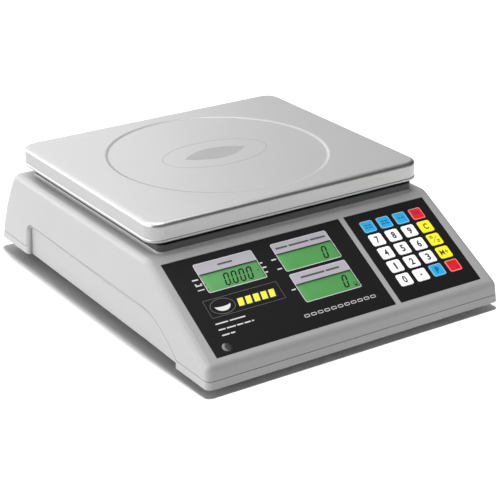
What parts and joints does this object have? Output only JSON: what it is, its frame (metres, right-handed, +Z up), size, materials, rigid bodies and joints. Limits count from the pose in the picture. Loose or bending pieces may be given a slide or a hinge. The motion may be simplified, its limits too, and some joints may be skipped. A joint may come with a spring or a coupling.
{
  "type": "counting scale",
  "caption": "Bench counting scale: sloping keypad panel with backlit displays in a plastic housing, and a flat stainless pan carried on a load cell.",
  "frame": {"origin": "bottom centre of the bounding box, on the surface that the feet stand on", "axes": "+Z up, -Y towards the operator, +X the operator's right"},
  "size_m": [0.3164, 0.386, 0.1146],
  "materials": {
    "shell": "fine moulded texture",
    "overlay": "satin printed film",
    "key_white": "satin printed film",
    "key_blue": "satin printed film",
    "key_red": "satin printed film",
    "key_yellow": "satin printed film",
    "lens": "smoked, glossy",
    "display": "backlit liquid crystal",
    "board": "solder resist",
    "stainless": "brushed",
    "support": "moulded, black",
    "rubber": "matt",
    "cell": "machined",
    "zinc_steel": "zinc plated",
    "black_plastic": "moulded, black",
    "vial": "clear with a yellow-green liquid"
  },
  "bodies": {
    "housing": {"lower_housing": "shell", "upper_housing": "shell", "display_overlay": "overlay", "keypad_overlay": "overlay", "status_lens": "lens", "weight_display": "display", "unit_weight_display": "display", "count_display": "display", "display_board": "board", "keypad_board": "board", "main_board": "board", "load_cell": "cell", "lower_spacer": "cell", "base_plate": "zinc_steel", "battery": "black_plastic", "switch_body": "black_plastic", "dc_jack": "black_plastic", "spirit_level": "vial", "case_screw_1": "zinc_steel", "case_screw_2": "zinc_steel", "case_screw_3": "zinc_steel", "case_screw_4": "zinc_steel", "lower_cell_screw_1": "zinc_steel", "lower_cell_screw_2": "zinc_steel"},
    "platform": {"pan_support": "support", "support_pad_1": "rubber", "support_pad_2": "rubber", "support_pad_3": "rubber", "support_pad_4": "rubber", "upper_spacer": "cell", "upper_cell_screw_1": "zinc_steel", "upper_cell_screw_2": "zinc_steel"},
    "pan": {"pan": "stainless"},
    "rocker": {"power_rocker": "black_plastic"},
    "battery_cover": {"battery_cover": "shell"},
    "foot_1": {"levelling_foot_1": "rubber"},
    "foot_2": {"levelling_foot_2": "rubber"},
    "foot_3": {"levelling_foot_3": "rubber"},
    "foot_4": {"levelling_foot_4": "rubber"},
    "key_units": {"key_units": "key_blue"},
    "key_unit_weight": {"key_unit_weight": "key_blue"},
    "key_sample": {"key_sample": "key_blue"},
    "key_tare": {"key_tare": "key_red"},
    "key_7": {"key_7": "key_white"},
    "key_8": {"key_8": "key_white"},
    "key_9": {"key_9": "key_white"},
    "key_clear": {"key_clear": "key_yellow"},
    "key_4": {"key_4": "key_white"},
    "key_5": {"key_5": "key_white"},
    "key_6": {"key_6": "key_white"},
    "key_sum": {"key_sum": "key_yellow"},
    "key_1": {"key_1": "key_white"},
    "key_2": {"key_2": "key_white"},
    "key_3": {"key_3": "key_white"},
    "key_add": {"key_add": "key_yellow"},
    "key_0": {"key_0": "key_white"},
    "key_point": {"key_point": "key_white"},
    "key_preset": {"key_preset": "key_blue"},
    "key_zero": {"key_zero": "key_red"}
  },
  "joints": [
    {"name": "weighing_travel", "type": "slide", "parent": "housing", "child": "platform", "axis": [0, 0, -1], "range_m": [0, 0.0006], "stiffness_N_per_m": 490000, "deforming": ["load_cell"]},
    {"name": "pan_lift", "type": "slide", "parent": "platform", "child": "pan", "axis": [0, 0, 1], "range_m": [0, 0.06]},
    {"name": "power_rocker", "type": "hinge", "parent": "housing", "child": "rocker", "pos_m": [0.088, 0.172, 0.038], "axis": [1, 0, 0], "range_deg": [-18, 0]},
    {"name": "battery_cover_removal", "type": "slide", "parent": "housing", "child": "battery_cover", "axis": [0, 0, -1], "range_m": [0, 0.03]},
    {"name": "foot_height_1", "type": "slide", "parent": "housing", "child": "foot_1", "axis": [0, 0, -1], "range_m": [0, 0.006]},
    {"name": "foot_height_2", "type": "slide", "parent": "housing", "child": "foot_2", "axis": [0, 0, -1], "range_m": [0, 0.006]},
    {"name": "foot_height_3", "type": "slide", "parent": "housing", "child": "foot_3", "axis": [0, 0, -1], "range_m": [0, 0.006]},
    {"name": "foot_height_4", "type": "slide", "parent": "housing", "child": "foot_4", "axis": [0, 0, -1], "range_m": [0, 0.006]},
    {"name": "press_key_units", "type": "slide", "parent": "housing", "child": "key_units", "axis": [0, 0.5044, -0.8635], "range_m": [0, 0.0005], "stiffness_N_per_m": 3000},
    {"name": "press_key_unit_weight", "type": "slide", "parent": "housing", "child": "key_unit_weight", "axis": [0, 0.5044, -0.8635], "range_m": [0, 0.0005], "stiffness_N_per_m": 3000},
    {"name": "press_key_sample", "type": "slide", "parent": "housing", "child": "key_sample", "axis": [0, 0.5044, -0.8635], "range_m": [0, 0.0005], "stiffness_N_per_m": 3000},
    {"name": "press_key_tare", "type": "slide", "parent": "housing", "child": "key_tare", "axis": [0, 0.5044, -0.8635], "range_m": [0, 0.0005], "stiffness_N_per_m": 3000},
    {"name": "press_key_7", "type": "slide", "parent": "housing", "child": "key_7", "axis": [0, 0.5044, -0.8635], "range_m": [0, 0.0005], "stiffness_N_per_m": 3000},
    {"name": "press_key_8", "type": "slide", "parent": "housing", "child": "key_8", "axis": [0, 0.5044, -0.8635], "range_m": [0, 0.0005], "stiffness_N_per_m": 3000},
    {"name": "press_key_9", "type": "slide", "parent": "housing", "child": "key_9", "axis": [0, 0.5044, -0.8635], "range_m": [0, 0.0005], "stiffness_N_per_m": 3000},
    {"name": "press_key_clear", "type": "slide", "parent": "housing", "child": "key_clear", "axis": [0, 0.5044, -0.8635], "range_m": [0, 0.0005], "stiffness_N_per_m": 3000},
    {"name": "press_key_4", "type": "slide", "parent": "housing", "child": "key_4", "axis": [0, 0.5044, -0.8635], "range_m": [0, 0.0005], "stiffness_N_per_m": 3000},
    {"name": "press_key_5", "type": "slide", "parent": "housing", "child": "key_5", "axis": [0, 0.5044, -0.8635], "range_m": [0, 0.0005], "stiffness_N_per_m": 3000},
    {"name": "press_key_6", "type": "slide", "parent": "housing", "child": "key_6", "axis": [0, 0.5044, -0.8635], "range_m": [0, 0.0005], "stiffness_N_per_m": 3000},
    {"name": "press_key_sum", "type": "slide", "parent": "housing", "child": "key_sum", "axis": [0, 0.5044, -0.8635], "range_m": [0, 0.0005], "stiffness_N_per_m": 3000},
    {"name": "press_key_1", "type": "slide", "parent": "housing", "child": "key_1", "axis": [0, 0.5044, -0.8635], "range_m": [0, 0.0005], "stiffness_N_per_m": 3000},
    {"name": "press_key_2", "type": "slide", "parent": "housing", "child": "key_2", "axis": [0, 0.5044, -0.8635], "range_m": [0, 0.0005], "stiffness_N_per_m": 3000},
    {"name": "press_key_3", "type": "slide", "parent": "housing", "child": "key_3", "axis": [0, 0.5044, -0.8635], "range_m": [0, 0.0005], "stiffness_N_per_m": 3000},
    {"name": "press_key_add", "type": "slide", "parent": "housing", "child": "key_add", "axis": [0, 0.5044, -0.8635], "range_m": [0, 0.0005], "stiffness_N_per_m": 3000},
    {"name": "press_key_0", "type": "slide", "parent": "housing", "child": "key_0", "axis": [0, 0.5044, -0.8635], "range_m": [0, 0.0005], "stiffness_N_per_m": 3000},
    {"name": "press_key_point", "type": "slide", "parent": "housing", "child": "key_point", "axis": [0, 0.5044, -0.8635], "range_m": [0, 0.0005], "stiffness_N_per_m": 3000},
    {"name": "press_key_preset", "type": "slide", "parent": "housing", "child": "key_preset", "axis": [0, 0.5044, -0.8635], "range_m": [0, 0.0005], "stiffness_N_per_m": 3000},
    {"name": "press_key_zero", "type": "slide", "parent": "housing", "child": "key_zero", "axis": [0, 0.5044, -0.8635], "range_m": [0, 0.0005], "stiffness_N_per_m": 3000}
  ]
}
